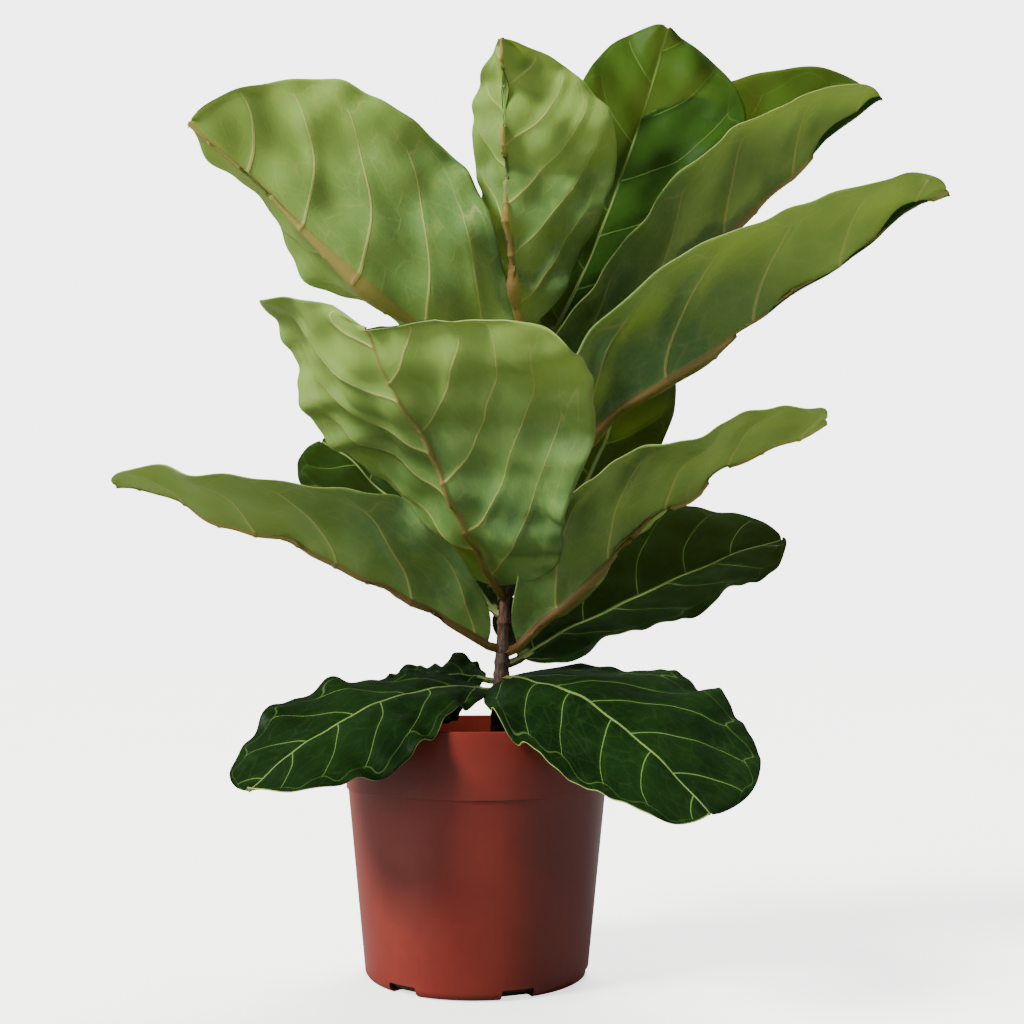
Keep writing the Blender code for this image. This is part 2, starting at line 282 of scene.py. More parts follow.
def wander(u, v, seed):
    """Gentle unevenness between about -1 and 1, made of crossed waves that never line up."""
    total = 0
    for k in range(1, 6):
        turn = 2.4 * seed + 2.0 * k
        phase = 1.7 * seed * k
        total = total + np.sin(1.7 * k * (u * np.cos(turn) + v * np.sin(turn)) + phase) / k
    return total / 2


def potting_soil(start):
    """Near-black peat with warmer fibres, rough and matt."""
    place = start.node("TexCoord", out="Object")
    crumb = start.node(
        "TexVoronoi", {"feature": "F1"}, {"Vector": place, "Scale": 420.0, "Randomness": 1.0}
    )
    cloud = start.node("TexNoise", sockets={"Vector": place, "Scale": 60.0, "Detail": 8.0})
    fine = start.node("TexNoise", sockets={"Vector": place, "Scale": 1500.0, "Detail": 4.0})
    tone = cloud.within(0.35, 0.68).blend((0.010, 0.006, 0.004), (0.050, 0.028, 0.016))
    tone = (fine.within(0.55, 0.75) * 0.5).blend(tone, (0.085, 0.052, 0.030))
    relief = crumb * -0.6 + cloud * 0.6 + fine * 0.3
    bump = start.node("Bump", sockets={"Height": relief, "Strength": 0.8, "Distance": 0.0016})
    return {"Base Color": tone, "Roughness": fine * 0.15 + 0.80, "Normal": bump}


soil_finish = finish_with("potting_soil", 0.9, potting_soil)

soil_profile = [(0.0, SOIL_TOP)]
soil_profile += [((RIM_RADIUS - soil_clear) * i / 48, SOIL_TOP) for i in range(1, 49)]
soil_profile += [(RIM_RADIUS - soil_clear, step + soil_clear), (body_top - soil_clear, step)]
soil_profile += [(low_wall - soil_clear, CORNER_RADIUS)]
soil_profile += [(low_wall - CORNER_RADIUS, soil_clear), (0.0, soil_clear)]
soil_mesh = turned_mesh("soil_body", soil_profile)
for vertex in soil_mesh.vertices:
    x, y, z = vertex.co
    if z > SOIL_TOP - 1e-4:
        inward = min(1.0, (RIM_RADIUS - soil_clear - math.hypot(x, y)) / 0.004)
        lumps = wander(x * 140, y * 140, 3.1) * LUMP + wander(x * 520, y * 520, 1.3) * 0.0010
        stem_mound = 0.0015 * math.exp(-(((x - STEM_FOOT_X) ** 2 + y * y) / 0.018**2))
        vertex.co.z = SOIL_TOP - SOIL_SINK + (lumps + stem_mound) * inward
soil_body = show("soil_body", soil_mesh, soil_finish)
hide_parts("soil")


def crumb_colours(start):
    """Crumbs of peat, bark and a few pale grains of perlite, by the shade stored on each."""
    shade = start.node("Attribute", {"attribute_name": "shade"}, out="Fac")
    place = start.node("TexCoord", out="Object")
    fine = start.node("TexNoise", sockets={"Vector": place, "Scale": 1800.0, "Detail": 4.0})
    peat = shade.node(
        "ValToRGB",
        {"stops": [(0.0, (0.010, 0.006, 0.004)), (0.6, (0.055, 0.028, 0.014)),
                   (0.93, (0.110, 0.062, 0.034)), (0.95, (0.55, 0.53, 0.48))]},
        {"Fac": shade},
    )
    tone = (fine.within(0.4, 0.7) * 0.4).blend(peat, (0.020, 0.012, 0.008))
    bump = start.node("Bump", sockets={"Height": fine, "Strength": 0.6, "Distance": 0.0006})
    return {"Base Color": tone, "Normal": bump}


draw = np.random.default_rng(21)
bm = bmesh.new()
shade_layer = bm.verts.layers.float.new("shade")
for index in range(CRUMBS):
    reach = (RIM_RADIUS - soil_clear - 0.004) * math.sqrt(draw.random())
    turn = draw.random() * 2 * math.pi
    x, y = reach * math.cos(turn), reach * math.sin(turn)
    size = 0.0007 + 0.0017 * draw.random() ** 3
    shade = draw.random()
    if math.hypot(x - STEM_FOOT_X, y) < 0.012:
        continue
    crumb = bmesh.ops.create_icosphere(bm, subdivisions=1, radius=size)["verts"]
    stretch = (1 + 0.9 * draw.random(), 0.6 + 0.5 * draw.random(), 0.5 + 0.4 * draw.random())
    bmesh.ops.scale(bm, vec=stretch, verts=crumb)
    tumble = Matrix.Rotation(turn * 5, 3, "Z") @ Matrix.Rotation(draw.random() - 0.5, 3, "X")
    bmesh.ops.rotate(bm, matrix=tumble, verts=crumb)
    rest = SOIL_TOP - SOIL_SINK + wander(x * 140, y * 140, 3.1) * LUMP
    bmesh.ops.translate(bm, vec=(x, y, rest + size * 0.25), verts=crumb)
    for vert in crumb:
        vert[shade_layer] = shade
crumb_mesh = bpy.data.meshes.new("soil_crumbs")
bm.to_mesh(crumb_mesh)
bm.free()
soil_crumbs = show("soil_crumbs", crumb_mesh, finish_with("soil_crumbs", 0.9, crumb_colours))


# Stem
# One slender upright stem of grey-brown bark, ringed by the scars of its leaves, greener
# towards the top. It is a tube drawn up through the stem's points, swollen at each node.

STEM = (
    (STEM_FOOT_X, 0.000, SOIL_TOP + 4 * GAP, 0.0075),
    (0.020, 0.000, 0.250, 0.0062),
    (0.027, 0.000, 0.350, 0.0055),
    (0.036, 0.000, 0.450, 0.0048),
    (0.042, -0.003, 0.525, 0.0042),
)
STEM_NODES = (
    0.188, 0.203, 0.216, 0.226, 0.236, 0.246, 0.256, 0.278, 0.302, 0.326, 0.350, 0.366, 0.386,
    0.408, 0.430, 0.446, 0.461, 0.474, 0.486, 0.497, 0.506,
)
BURIED = 0.006
SWELL_HALF_LENGTH = 0.0024
SCAR_HALF_LENGTH = 0.0007
SCAR_BELOW_NODE = 0.003


def stem_at(height):
    """The stem's axis point and radius at a height, on straight runs between its points."""
    stem = np.array(STEM)
    values = [np.interp(height, stem[:, 2], column) for column in stem.T]
    return np.array([values[0], values[1], height]), values[3]


def stem_bark(start):
    """Grey-brown bark with fine upright cracks and pale pores, turning green at the top."""
    place = start.node("TexCoord", out="Object")
    height = start.node("SeparateXYZ", sockets={"Vector": place}, out="Z")
    drawn = start.node("Mapping", sockets={"Vector": place, "Scale": (700.0, 700.0, 90.0)})
    cracks = start.node("TexNoise", sockets={"Vector": drawn, "Scale": 1.0, "Detail": 6.0})
    blotch = start.node("TexNoise", sockets={"Vector": place, "Scale": 110.0, "Detail": 4.0})
    pores = start.node(
        "TexVoronoi", {"feature": "F1"}, {"Vector": place, "Scale": 330.0, "Randomness": 1.0}
    )
    tone = cracks.within(0.35, 0.7).blend((0.030, 0.015, 0.010), (0.105, 0.060, 0.042))
    tone = (blotch.within(0.52, 0.70) * 0.45).blend(tone, (0.20, 0.075, 0.065))
    tone = ((1 - pores.within(0.10, 0.20)) * 0.5).blend(tone, (0.26, 0.18, 0.12))
    tone = (height.within(0.36, 0.52) * 0.75).blend(tone, (0.110, 0.130, 0.035))
    relief = cracks * 0.7 + pores * 0.3
    bump = start.node("Bump", sockets={"Height": relief, "Strength": 0.7, "Distance": 0.0008})
    return {"Base Color": tone, "Roughness": cracks * 0.2 + 0.60, "Normal": bump}


bm = bmesh.new()
bmesh.ops.create_cone(bm, cap_ends=True, segments=40, radius1=1, radius2=1, depth=1)
sides = [e for e in bm.edges if abs(e.verts[0].co.z - e.verts[1].co.z) > 0.5]
bmesh.ops.subdivide_edges(bm, edges=sides, cuts=300, use_grid_fill=True)
low, high = STEM[0][2] - BURIED, STEM[-1][2]
for vertex in bm.verts:
    height = low + (high - low) * (vertex.co.z + 0.5)
    axis, radius = stem_at(height)
    turn = math.atan2(vertex.co.y, vertex.co.x)
    above = [height - node for node in STEM_NODES]
    swell = max(math.exp(-((rise / SWELL_HALF_LENGTH) ** 2)) for rise in above)
    scar = max(math.exp(-(((rise + SCAR_BELOW_NODE) / SCAR_HALF_LENGTH) ** 2)) for rise in above)
    uneven = 0.03 * wander(np.float64(3 * math.cos(turn)), 60 * height, 2.2)
    flare = 0.25 * math.exp(-(height - low) / 0.006)
    radius *= 0.93 + 0.13 * swell - 0.05 * scar + uneven + flare
    vertex.co = (axis[0] + radius * math.cos(turn), axis[1] + radius * math.sin(turn), height)
stem_mesh = bpy.data.meshes.new("stem_with_scars")
bm.to_mesh(stem_mesh)
bm.free()
stem_with_scars = show("stem_with_scars", stem_mesh, finish_with("stem_bark", 0.7, stem_bark))
stem_mesh.set_sharp_from_angle(angle=math.radians(60))
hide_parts("stem")


# Bud
# The pointed sheath over the growing tip, two papery scales wrapped one over the other.
# It is turned from its pointed profile, then pinched along a seam that winds round it.

BUD_LENGTH = 0.030
BUD_RADIUS = 0.0045


def papery_sheath(start):
    """Green-brown sheath, blotched with drier red-brown and streaked along its length."""
    place = start.node("TexCoord", out="Object")
    drawn = start.node("Mapping", sockets={"Vector": place, "Scale": (900.0, 900.0, 70.0)})
    streaks = start.node("TexNoise", sockets={"Vector": drawn, "Scale": 1.0, "Detail": 5.0})
    blotch = start.node("TexNoise", sockets={"Vector": place, "Scale": 160.0, "Detail": 4.0})
    tone = blotch.within(0.35, 0.65).blend((0.150, 0.135, 0.035), (0.135, 0.055, 0.028))
    tone = (streaks.within(0.45, 0.75) * 0.6).blend(tone, (0.30, 0.19, 0.085))
    bump = start.node("Bump", sockets={"Height": streaks, "Strength": 0.6, "Distance": 0.0006})
    return {"Base Color": tone, "Roughness": streaks * 0.2 + 0.42, "Normal": bump}


sheath_finish = finish_with("papery_sheath", 0.5, papery_sheath)
bud_profile = [(0.0, BUD_LENGTH)]
bud_profile += [
    (BUD_RADIUS * math.cos(math.pi / 2 * i / 32) ** 0.8, BUD_LENGTH * i / 32)
    for i in range(31, -1, -1)
]
bud_profile += [(0.0, 0.0)]
bud_mesh = turned_mesh("bud_sheath", bud_profile, steps=48)
for vertex in bud_mesh.vertices:
    x, y, z = vertex.co
    seam = math.atan2(y, x) - 2.0 - z * 60
    pinch = 1 - 0.16 * math.exp(-((math.remainder(seam, 2 * math.pi) / 0.22) ** 2))
    bend = 0.0016 * (z / BUD_LENGTH) ** 2
    vertex.co = (x * pinch + bend, y * pinch, z)
below, top = Vector(STEM[-2][:3]), Vector(STEM[-1][:3])
stem_heading = (top - below).normalized()
bud_mesh.transform(
    Matrix.Translation(top + stem_heading * GAP)
    @ stem_heading.to_track_quat("Z", "Y").to_matrix().to_4x4()
)
bud_sheath = show("bud_sheath", bud_mesh, sheath_finish)
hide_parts("terminal_bud")


# Dried stipules
# Curled brown scraps of the sheaths that covered earlier buds, still clinging at the nodes.
# Each is a small sheet, tapered to a point, rolled along its length and given a thickness.

STIPULES = ((0.296, 200, 0.017), (0.352, 20, 0.020), (0.412, 150, 0.018), (0.447, 320, 0.022),
            (0.476, 60, 0.024), (0.500, 235, 0.024))
bm = bmesh.new()
for height, facing, length in STIPULES:
    axis, radius = stem_at(height)
    scrap = bmesh.ops.create_grid(bm, x_segments=10, y_segments=16, size=0.5)["verts"]
    for vert in scrap:
        share, climb = 2 * vert.co.x, vert.co.y + 0.5
        roll = math.radians(facing) + share * (0.95 - 0.35 * climb) * (1 - climb) ** 0.6
        away = radius + 0.0007 + length * (0.10 * climb + 0.42 * climb**3)
        reach = away + 0.0012 * abs(share) * climb
        vert.co = (
            axis[0] + reach * math.cos(roll),
            axis[1] + reach * math.sin(roll),
            height + length * (climb - 0.35 * climb**3) + 0.0010 * math.sin(5 * share + 9 * climb),
        )
bmesh.ops.recalc_face_normals(bm, faces=bm.faces)
scrap_mesh = bpy.data.meshes.new("dried_stipules")
bm.to_mesh(scrap_mesh)
bm.free()
dried_stipules = show("dried_stipules", scrap_mesh, sheath_finish)
thin = dried_stipules.modifiers.new("Thickness", "SOLIDIFY")
thin.thickness = 0.0003
thin.offset = 0


# Leaf making
# A fiddle leaf is one living sheet: a short stout stalk that runs on as the midrib, and a
# leathery blade, narrow at the waist and broad towards its tip, quilted between its side
# veins. Each is drawn as a fine grid over its stalk, bent to its place and given thickness.

PETIOLE = 0.022
PETIOLE_HALF_WIDTH = 0.0026
PETIOLE_THICKNESS = 0.0046
STALK_ROWS = 12
BLADE_ROWS = 168
HALF_COLUMNS = 44
SHEET = 0.0008
VEIN_PAIRS = 5.0
BARE_STALK = 0.5
FOOT_FLARE = 0.45
FOOT_REACH = 0.0045
MARGIN_NOTCH = 0.030
MARGIN_CURL = 0.0080
VEIN_TILT = 0.42
VEIN_ARCH = 0.80
RIB_HALF_WIDTH = 0.0027
RIB_DEPTH = 0.0040
SIDE_RIB_DEPTH = 0.0009
SIDE_RIB_HALF_WIDTH = 0.0014


def unit(vector):
    vector = np.asarray(vector, float)
    return vector / np.linalg.norm(vector, axis=-1, keepdims=True)


def half_width(q, blunt, broadest, waist):
    """The fiddle's half width, as a share of the widest, from the blade's foot at 0 to its tip at 1."""
    foot = 1 - (1 - q) ** 18
    rise = np.clip(q / broadest, 0, 1)
    body = waist + (1 - waist) * rise**2 * (3 - 2 * rise)
    apex = (1 - np.clip(q, 0, 1) ** blunt) ** 0.6
    return foot * body * apex


class Leaf:
    """A stalk and midrib on one curve, with each half of the blade spreading from it.

    height is where it leaves the stem. The midrib's middle stands off the straight line to
    the tip by bow, and sway bends it one way below the middle and the other way above.
    left and right are the ways that the two halves spread, as seen from the stem with the
    upper face up. curl bends each half up towards its margin, twist turns the blade about
    the midrib, both in degrees and both growing from nothing at the stem. lean is how far
    each half sweeps forward at the tip, and heel the same at the foot, where below zero it
    makes lobes that reach back. blunt is how square the tip is, broadest where the blade is
    widest and waist how wide it is near the foot.
    """

    def __init__(
        self, name, height, tip, bow, width, left, right, sway=(0, 0, 0), curl=(0, 0),
        twist=0, lean=(0.6, 0.6), heel=-0.2, blunt=3.0, broadest=0.7, waist=0.4,
        ruffle=0.005, waves=3.0, petiole=PETIOLE,
    ):
        self.name, self.width, self.heel = name, width, heel
        self.form = (blunt, broadest, waist)
        self.spread, self.curl, self.twist, self.lean = (left, right), curl, twist, lean
        self.ruffle, self.waves, self.petiole = ruffle, waves, petiole
        tip, bow, sway = np.array(tip), np.array(bow), np.array(sway)
        axis, radius = stem_at(height)
        heading = unit((tip - axis) / 2 + 2 * bow + 3 * sway)
        flat = unit([heading[0], heading[1], 0])
        start = axis + flat * (radius + 2 * GAP + PETIOLE_THICKNESS * 0.6 * abs(heading[2]))
        t = np.linspace(0, 1, 81)[:, None]
        straight = start + (tip - start) * t
        self.curve = straight + 4 * t * (1 - t) * bow + np.sin(2 * math.pi * t) * sway
        steps = np.linalg.norm(np.diff(self.curve, axis=0), axis=1)
        self.stations = np.concatenate([[0], np.cumsum(steps)])
        self.length = self.stations[-1]
        self.blade = self.length - petiole

    def midrib(self, along):
        """Points and directions of the midrib, which runs on straight past its tip."""
        inside = np.clip(along, 0, self.length)
        point = np.stack([np.interp(inside, self.stations, c) for c in self.curve.T], -1)
        slopes = unit(np.gradient(self.curve, self.stations, axis=0))
        heading = unit(np.stack([np.interp(inside, self.stations, c) for c in slopes.T], -1))
        return point + (along - inside)[..., None] * heading, heading

    def place(self, along, across):
        """The point at a distance along the midrib and across it, with the left half below zero."""
        point, heading = self.midrib(along)
        ripple = 2 * math.pi * self.waves * along / self.length
        turn = np.radians(self.twist) * np.clip(along / self.length, 0, 1)[..., None]
        result = np.array(point)
        for side, sign in ((0, -1), (1, 1)):
            spread = np.broadcast_to(np.array(self.spread[side], float), point.shape)
            spread = unit(spread - (spread * heading).sum(-1, keepdims=True) * heading)
            face = np.cross(spread, heading) * sign
            spread, face = (
                spread * np.cos(turn) + face * np.sin(turn) * sign,
                face * np.cos(turn) - spread * np.sin(turn) * sign,
            )
            share = np.clip(across * sign, 0, None) / self.width[side]
            bend = np.radians(self.curl[side]) * np.clip(along / self.length, 0, 1) + 1e-6
            out = self.width[side] * np.sin(bend * share) / bend
            up = self.width[side] * (1 - np.cos(bend * share)) / bend
            up = up + self.ruffle * share**2 * np.sin(ripple + 1.9 * side)
            result = result + out[..., None] * spread + up[..., None] * face
        return result

    def outline(self, q, share):
        """Along and across for row q, 0 at the foot to 1 at the tip, and a signed share of its half."""
        side = np.where(share < 0, 0, 1)
        half = np.array(self.width)[side] * half_width(q, *self.form)
        lean = self.heel + (np.array(self.lean)[side] - self.heel) * q
        along = self.petiole + self.blade * q + half * lean * np.abs(share) ** 1.3
        return along, np.maximum(half, PETIOLE_HALF_WIDTH) * share


def leaf_face(
    body, mottle, pale, young_and_lit, vein, rib_foot, rib_tip, relief_sign, slender, net_strength, matt
):
    """Colours and relief of one face of the blade, laid out by the veins stored on the leaf."""

    def make(start):
        plan = start.node("Attribute", {"attribute_name": "plan"}, out="Vector")
        side_x = start.node("SeparateXYZ", sockets={"Vector": plan}, out="X")
        climb = start.node("SeparateXYZ", sockets={"Vector": plan}, out="Y")
        share = abs(start.node("SeparateXYZ", sockets={"Vector": plan}, out="Z"))
        branch = start.node("Attribute", {"attribute_name": "branch"}, out="Fac")
        place = start.node("TexCoord", out="Object")
        from_rib = abs(side_x)

        off_vein = abs(branch.maths("FRACT", branch + 0.5) - 0.5)
        loop = start.maths("COSINE", branch * (2 * math.pi)) * -0.06 + 0.87
        inside = 1 - (share - loop).within(-0.01, 0.03)
        side_vein = (1 - (off_vein / (slender - share * slender * 0.5)).within(0.55, 1.25)) * inside
        off_loop = abs(share - loop)
        loop_vein = (1 - off_loop.within(0.003, 0.009)) * 0.40 * climb.within(0.2, 0.8)

        ladder_at = start.node(
            "CombineXYZ", sockets={"X": branch * 1.9, "Y": from_rib * 5.2, "Z": side_x * 0.7}
        )
        ladder = start.node(
            "TexVoronoi", {"feature": "DISTANCE_TO_EDGE"}, {"Vector": ladder_at, "Scale": 1.0}
        )
        rung = (1 - ladder.within(0.012, 0.050)) * net_strength * 0.7
        net_at = start.node("CombineXYZ", sockets={"X": side_x, "Y": climb, "Z": 0.3})
        net = start.node(
            "TexVoronoi", {"feature": "DISTANCE_TO_EDGE"}, {"Vector": net_at, "Scale": 15.0}
        )
        mesh_line = (1 - net.within(0.02, 0.12)) * net_strength
        fine = start.node("TexNoise", sockets={"Vector": place, "Scale": 620.0, "Detail": 3.0})
        cloud = start.node("TexNoise", sockets={"Vector": place, "Scale": 17.0, "Detail": 4.0})
        blotch = start.node("TexNoise", sockets={"Vector": place, "Scale": 75.0, "Detail": 5.0})

        rib_width = (0.054 - climb * 0.0066) * (slender * 38)
        rib = 1 - (from_rib / rib_width.maths("MAXIMUM", rib_width, 0.012)).within(0.75, 1.25)
        stalk = (1 - climb.within(-0.06, 0.02)) * (1 - from_rib.within(0.07, 0.11))
        rib = rib.maths("MAXIMUM", rib, stalk)
        near_vein = (1 - off_vein.within(0.02, 0.16)) * 0.30 * (1 - share * share)

        height = start.node("SeparateXYZ", sockets={"Vector": place}, out="Z")
        tone = cloud.within(0.34, 0.66).blend(body, mottle)
        # Below, the underside and rim turn lighter and yellower toward each leaf's tip: painted light,
        # with the foot left darker as painted shade. The upper face turns lighter green on the leaves
        # high on the stem: partly their young colour, partly painted light.
        young_and_lit_mask = climb.within(1.2, 5.0) if relief_sign > 0 else height.within(0.45, 0.75)
        tone = (young_and_lit_mask * 0.8).blend(tone, young_and_lit)
        tone = (blotch.within(0.50, 0.75) * 0.45).blend(tone, pale)
        tone = near_vein.blend(tone, pale)
        tone = mesh_line.blend(tone, pale)
        tone = rung.blend(tone, vein)
        tone = (side_vein.maths("MAXIMUM", side_vein, loop_vein) * 0.85).blend(tone, vein)
        rib_tone = climb.within(0.0, 3.4).blend(rib_foot, rib_tip)
        tone = rib.blend(tone, rib_tone)

        ridges = side_vein * 0.9 + rung * 0.8 + mesh_line * 0.5 + rib * 0.6
        relief = ridges * relief_sign + fine * 0.16 + blotch * 0.35
        bump = start.node(
            "Bump", sockets={"Height": relief, "Strength": 0.55, "Distance": 0.0011}
        )
        gloss = fine * 0.12 + cloud * 0.12 + matt
        return {"Base Color": tone, "Roughness": gloss, "Normal": bump}

    return make


def let_light_through(finish, colour, old, young_and_lit):
    """Some light passes through the blade, more of it in the young leaves high on the stem."""
    tree = finish.node_tree
    start = Value(tree)
    place = start.node("TexCoord", out="Object")
    height = start.node("SeparateXYZ", sockets={"Vector": place}, out="Z").within(0.22, 0.50)
    amount = height * (young_and_lit - old) + old
    output = tree.nodes["Material Output"]
    glow = tree.nodes.new("ShaderNodeBsdfTranslucent")
    glow.inputs["Color"].default_value = (*colour, 1)
    both = tree.nodes.new("ShaderNodeMixShader")
    tree.links.new(amount.socket, both.inputs[0])
    tree.links.new(tree.nodes["Principled BSDF"].outputs[0], both.inputs[1])
    tree.links.new(glow.outputs[0], both.inputs[2])
    tree.links.new(both.outputs[0], output.inputs["Surface"])


# On the upper face the lighter green given to the leaves high on the stem is partly their real young
# colour and partly painted light.
upper_face = finish_with(
    "leaf_upper", 0.3,
    leaf_face(
        body=(0.002, 0.009, 0.002), mottle=(0.004, 0.016, 0.003), pale=(0.009, 0.028, 0.006),
        young_and_lit=(0.030, 0.078, 0.010), vein=(0.100, 0.180, 0.040),
        rib_foot=(0.110, 0.150, 0.045), rib_tip=(0.130, 0.200, 0.050),
        relief_sign=-1.0, slender=0.015, net_strength=0.05, matt=0.28,
    ),
    Specular_IOR_Level=0.20,
)
# On the underside the lighter, yellower green laid toward each leaf's tip is painted light.
under_face = finish_with(
    "leaf_underside", 0.5,
    leaf_face(
        body=(0.062, 0.150, 0.046), mottle=(0.108, 0.215, 0.052), pale=(0.195, 0.320, 0.075),
        young_and_lit=(0.225, 0.350, 0.058), vein=(0.400, 0.390, 0.120),
        rib_foot=(0.115, 0.045, 0.020), rib_tip=(0.270, 0.200, 0.065),
        relief_sign=1.0, slender=0.026, net_strength=0.22, matt=0.36,
    ),
    Specular_IOR_Level=0.30,
)
# On the rim too, the slightly lighter green toward each leaf's tip is painted light.
margin = finish_with(
    "leaf_margin", 0.5,
    leaf_face(
        body=(0.200, 0.260, 0.070), mottle=(0.200, 0.250, 0.065), pale=(0.240, 0.300, 0.090),
        young_and_lit=(0.230, 0.300, 0.080), vein=(0.300, 0.350, 0.110),
        rib_foot=(0.160, 0.080, 0.035), rib_tip=(0.280, 0.240, 0.080),
        relief_sign=1.0, slender=0.026, net_strength=0.10, matt=0.40,
    ),
)
let_light_through(upper_face, (0.60, 0.78, 0.20), old=0.05, young_and_lit=0.24)
let_light_through(under_face, (0.80, 0.88, 0.34), old=0.25, young_and_lit=0.30)


def grow(leaf, seed, puff):
    """Makes one leaf's sheet: puff is how far it swells between its side veins, in metres."""
    rows = STALK_ROWS + BLADE_ROWS
    bm = bmesh.new()
    bmesh.ops.create_grid(bm, x_segments=2 * HALF_COLUMNS, y_segments=rows, size=0.5)
    grid = np.array([vertex.co[:] for vertex in bm.verts])
    column = np.round(2 * grid[:, 0] * HALF_COLUMNS) / HALF_COLUMNS
    share = np.sign(column) * np.abs(column) ** 1.4
    row = np.round((grid[:, 1] + 0.5) * rows)
    on_stalk = row < STALK_ROWS
    t = np.clip(row - STALK_ROWS, 0, None) / BLADE_ROWS
    q = 0.5 * t + 0.25 * (1 - np.cos(math.pi * t))

    along, across = leaf.outline(q, share)
    notch = 1 + MARGIN_NOTCH * wander(9 * q, 2.0 * np.sign(share), seed) * np.abs(share) ** 2
    across = across * notch
    bare = BARE_STALK * leaf.petiole
    foot = np.where(on_stalk, 1 - row / STALK_ROWS, 0)
    along = np.where(on_stalk, bare * row / STALK_ROWS, along - bare * (1 - q) ** 6)
    across = np.where(on_stalk, PETIOLE_HALF_WIDTH * share * (1 + FOOT_FLARE * foot**2), across)

    pitch = leaf.blade / VEIN_PAIRS
    out = np.abs(across) / pitch
    climb = (along - leaf.petiole) / pitch
    reach = np.abs(share)
    uneven = 0.10 * wander(0.9 * climb + 3 * (share > 0), 1.1 * out, seed + 0.5)
    branch = climb - (VEIN_TILT + VEIN_ARCH * reach) * out + 0.45 * (share > 0) + uneven - 0.10
    off_vein = np.abs((branch + 0.5) % 1 - 0.5)

    point = leaf.place(along, across)
    step_along, step_across = 0.002, 0.002
    ahead = leaf.place(along + step_along, across) - leaf.place(along - step_along, across)
    beside = leaf.place(along, across + step_across) - leaf.place(along, across - step_across)
    up = unit(np.cross(beside, ahead))
    settled = np.clip((climb - 0.05) / 0.5, 0, 1)
    quilt = (1 - np.exp(-((off_vein / 0.17) ** 2))) * np.sin(math.pi * np.clip(reach, 0.05, 0.97))
    uneven_puff = 0.45 + 0.45 * wander(0.8 * climb, 1.6 * share, seed + 2)
    lift = puff * quilt * settled * uneven_puff
    lift += 1.7 * puff * settled * wander(1.1 * climb, 1.3 * across / pitch, seed + 4)
    lift += MARGIN_CURL * settled * reach**3 * wander(1.9 * climb, np.sign(share), seed + 7)
    lift -= 0.0010 * np.exp(-((across / 0.004) ** 2)) * settled
    point = point + up * lift[:, None]
    stem_centre, _ = stem_at(leaf.curve[0][2])
    point = point + unit(stem_centre - leaf.curve[0]) * FOOT_REACH * foot[:, None] ** 2
    for vertex, place in zip(bm.verts, point):
        vertex.co = place

    mesh = bpy.data.meshes.new(leaf.name + "_blade")
    bm.to_mesh(mesh)
    bm.free()
    plan = mesh.attributes.new("plan", "FLOAT_VECTOR", "POINT")
    plan.data.foreach_set("vector", np.stack([across / pitch, climb, share], -1).ravel())
    mesh.attributes.new("branch", "FLOAT", "POINT").data.foreach_set("value", branch)

    blade = show(leaf.name + "_blade", mesh, upper_face, under_face, margin)
    rib_half = np.where(on_stalk, PETIOLE_HALF_WIDTH, RIB_HALF_WIDTH - 0.0020 * q)
    rib_depth = np.where(on_stalk, PETIOLE_THICKNESS, RIB_DEPTH - 0.0034 * q)
    rib = rib_depth * np.sqrt(np.clip(1 - (across / rib_half) ** 2, 0, 1))
    side_rib = SIDE_RIB_DEPTH * np.exp(-((off_vein * pitch / SIDE_RIB_HALF_WIDTH) ** 2))
    side_rib = side_rib * (1 - reach) * settled
    depth = np.clip(SHEET + rib + side_rib, 0, PETIOLE_THICKNESS)
    weights = blade.vertex_groups.new(name="depth")
    for index, value in enumerate(depth / PETIOLE_THICKNESS):
        weights.add([index], float(value), "REPLACE")
    sheet = blade.modifiers.new("Thickness", "SOLIDIFY")
    sheet.thickness = PETIOLE_THICKNESS
    sheet.offset = -1
    sheet.vertex_group = weights.name
    sheet.material_offset = 1
    sheet.material_offset_rim = 2
    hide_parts(leaf.name)


# Lower leaves
# The oldest leaves, spread low over the pot's rim with their dark glossy upper faces up.
# Their stalks are short, and their tips arch over and hang.

LOWER_PUFF = 0.0018
LOWER_LEAVES = (
    Leaf(
        "leaf_low_front_left", 0.224, (-0.158, -0.140, 0.160), bow=(0.0, 0.0, 0.025),
        width=(0.074, 0.060), left=(0.60, -0.75, -0.26), right=(-0.65, 0.68, 0.32),
        curl=(-35, 0), lean=(0.2, 0.5), heel=-0.2, blunt=4.0, broadest=0.6, waist=0.36,
        waves=4.0, petiole=0.016,
    ),
    Leaf(
        "leaf_low_front_right", 0.235, (0.160, -0.190, 0.150), bow=(0.0, -0.01, 0.022),
        width=(0.106, 0.068), left=(0.87, 0.35, 0.12), right=(-0.75, -0.40, -0.45),
        lean=(0.3, 0.4), heel=-0.8, blunt=4.0, broadest=0.55, waist=0.5, waves=3.5,
        petiole=0.014,
    ),
    Leaf(
        "leaf_low_back_left", 0.232, (-0.090, 0.045, 0.205), bow=(0.0, 0.0, 0.014),
        width=(0.065, 0.036), left=(0.30, -0.60, -0.70), right=(-0.30, 0.70, 0.20),
        waist=0.6, petiole=0.014,
    ),
    Leaf(
        "leaf_back_right", 0.245, (0.268, 0.090, 0.352), bow=(0.0, 0.01, 0.010),
        width=(0.104, 0.062), left=(-0.45, 0.60, 0.65), right=(0.45, -0.77, -0.42),
        lean=(0.2, 0.3), blunt=3.5, waves=4.0, heel=-0.5, waist=0.55,
    ),
)
for number, leaf in enumerate(LOWER_LEAVES):
    grow(leaf, 1.0 + number, LOWER_PUFF)


# Middle leaves
# The largest leaves, held out and up from the middle of the stem. Seen from the front, most
# show their light green undersides, with the two long ones folded up along the midrib.

